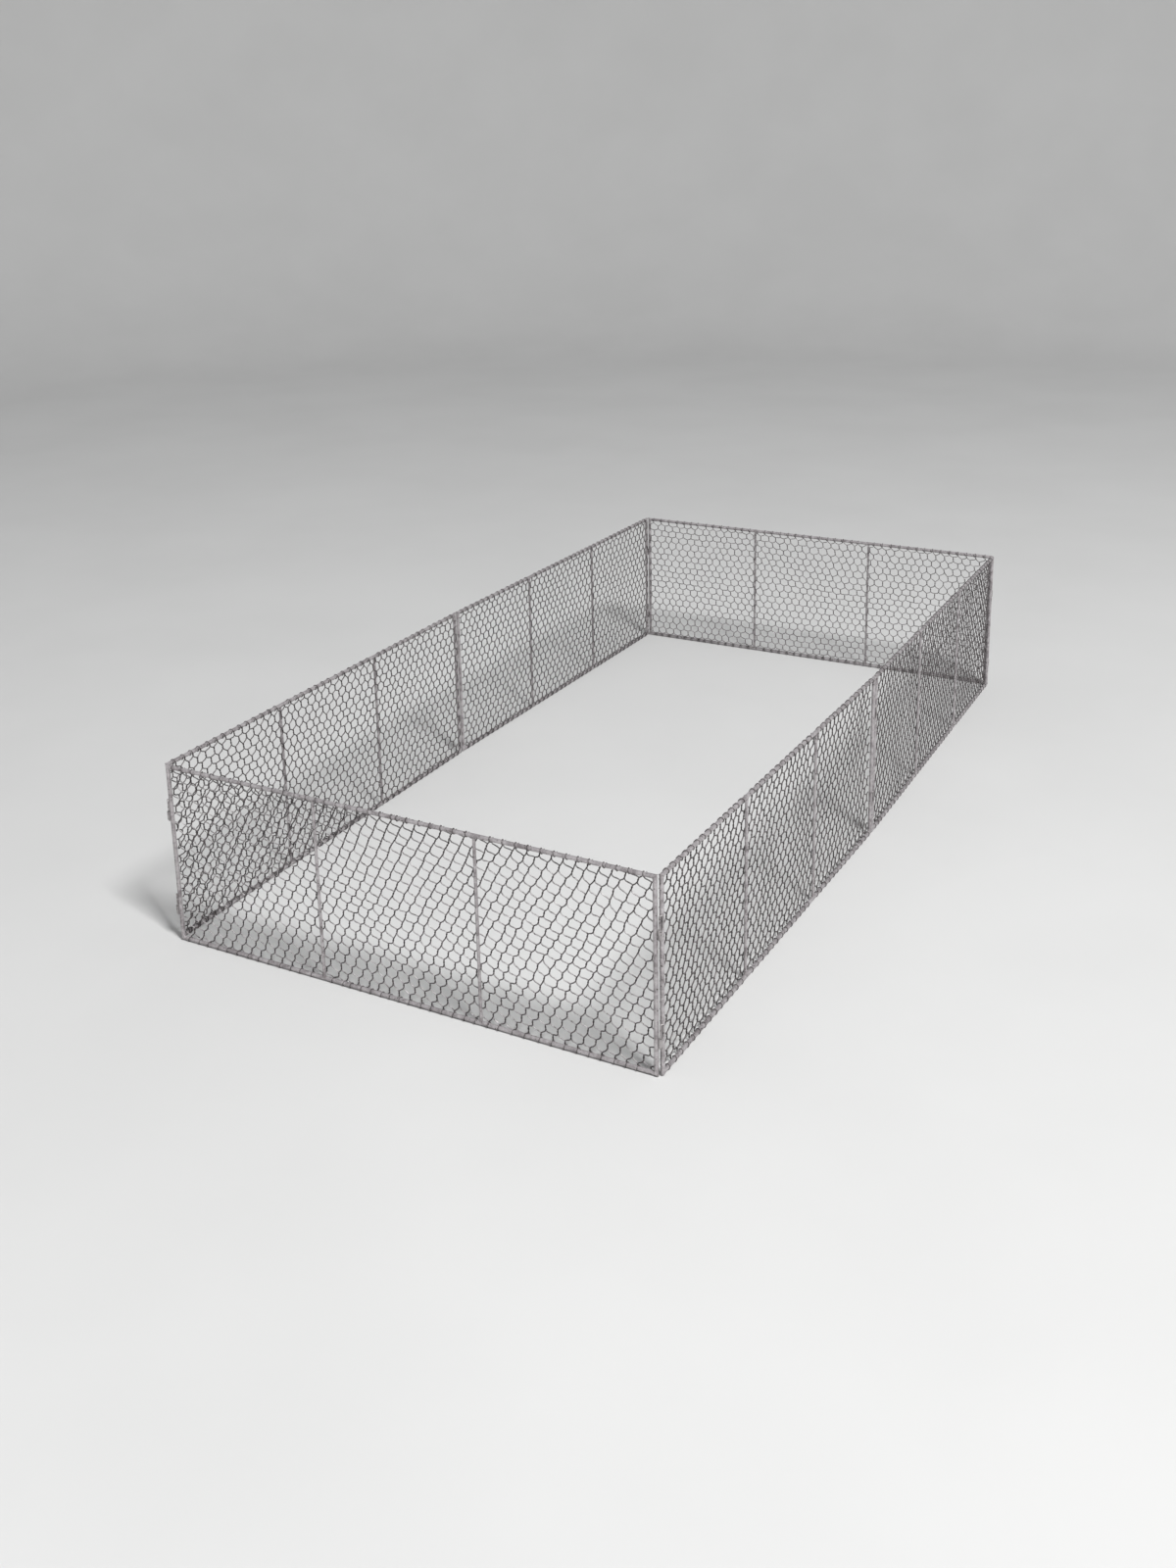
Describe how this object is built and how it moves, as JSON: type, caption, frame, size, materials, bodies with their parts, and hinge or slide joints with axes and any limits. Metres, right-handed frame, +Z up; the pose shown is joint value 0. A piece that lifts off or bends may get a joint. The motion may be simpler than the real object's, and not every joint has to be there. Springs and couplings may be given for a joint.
{
  "type": "chicken wire fence",
  "caption": "Folding pen of hooked-together tube frame panels with hexagonal wire netting, open at the top and standing on the ground.",
  "frame": {"origin": "on the ground, at the middle of the pen's plan", "axes": "+Y runs along the two-panel sides from the front panel to the back panel, +Z is up, +X completes the right-handed frame"},
  "size_m": [2.2076, 4.2816, 0.75],
  "materials": {
    "galvanised_tube": "hot-dip galvanised, dull with faint spangle",
    "galvanised_netting": "galvanised wire, dull",
    "galvanised_rod": "galvanised rod, dull"
  },
  "bodies": {
    "front": {"front_top_rail": "galvanised_tube", "front_bottom_rail": "galvanised_tube", "front_stiles": "galvanised_tube", "front_uprights": "galvanised_tube", "front_netting": "galvanised_netting", "front_hooks": "galvanised_rod", "front_sleeves": "galvanised_rod"},
    "right_near": {"right_near_top_rail": "galvanised_tube", "right_near_bottom_rail": "galvanised_tube", "right_near_stiles": "galvanised_tube", "right_near_uprights": "galvanised_tube", "right_near_netting": "galvanised_netting", "right_near_hooks": "galvanised_rod", "right_near_sleeves": "galvanised_rod"},
    "right_far": {"right_far_top_rail": "galvanised_tube", "right_far_bottom_rail": "galvanised_tube", "right_far_stiles": "galvanised_tube", "right_far_uprights": "galvanised_tube", "right_far_netting": "galvanised_netting", "right_far_hooks": "galvanised_rod", "right_far_sleeves": "galvanised_rod"},
    "back": {"back_top_rail": "galvanised_tube", "back_bottom_rail": "galvanised_tube", "back_stiles": "galvanised_tube", "back_uprights": "galvanised_tube", "back_netting": "galvanised_netting", "back_hooks": "galvanised_rod", "back_sleeves": "galvanised_rod"},
    "left_far": {"left_far_top_rail": "galvanised_tube", "left_far_bottom_rail": "galvanised_tube", "left_far_stiles": "galvanised_tube", "left_far_uprights": "galvanised_tube", "left_far_netting": "galvanised_netting", "left_far_hooks": "galvanised_rod", "left_far_sleeves": "galvanised_rod"},
    "left_near": {"left_near_top_rail": "galvanised_tube", "left_near_bottom_rail": "galvanised_tube", "left_near_stiles": "galvanised_tube", "left_near_uprights": "galvanised_tube", "left_near_netting": "galvanised_netting", "left_near_hooks": "galvanised_rod", "left_near_sleeves": "galvanised_rod"}
  },
  "joints": [
    {"name": "corner_left_fold", "type": "hinge", "parent": "front", "child": "left_near", "pos_m": [-1.065, -2.12982, 0.4], "axis": [0, 0, 1], "range_deg": [-8, 48]},
    {"name": "mid_left_fold", "type": "hinge", "parent": "left_near", "child": "left_far", "pos_m": [-1.09288, 0, 0.4], "axis": [0, 0, 1], "range_deg": [-96, 16]},
    {"name": "corner_back_left_fold", "type": "hinge", "parent": "left_far", "child": "back", "pos_m": [-1.065, 2.12982, 0.4], "axis": [0, 0, 1], "range_deg": [-8, 48]},
    {"name": "corner_right_fold", "type": "hinge", "parent": "front", "child": "right_near", "pos_m": [1.065, -2.12982, 0.4], "axis": [0, 0, 1], "range_deg": [-48, 8]},
    {"name": "mid_right_fold", "type": "hinge", "parent": "right_near", "child": "right_far", "pos_m": [1.09288, 0, 0.4], "axis": [0, 0, 1], "range_deg": [-16, 96]}
  ],
  "couplings": [
    {"joint": "mid_left_fold", "follows": "corner_left_fold", "ratio": -2},
    {"joint": "corner_back_left_fold", "follows": "corner_left_fold", "ratio": 1},
    {"joint": "corner_right_fold", "follows": "corner_left_fold", "ratio": -1},
    {"joint": "mid_right_fold", "follows": "corner_left_fold", "ratio": 2}
  ]
}
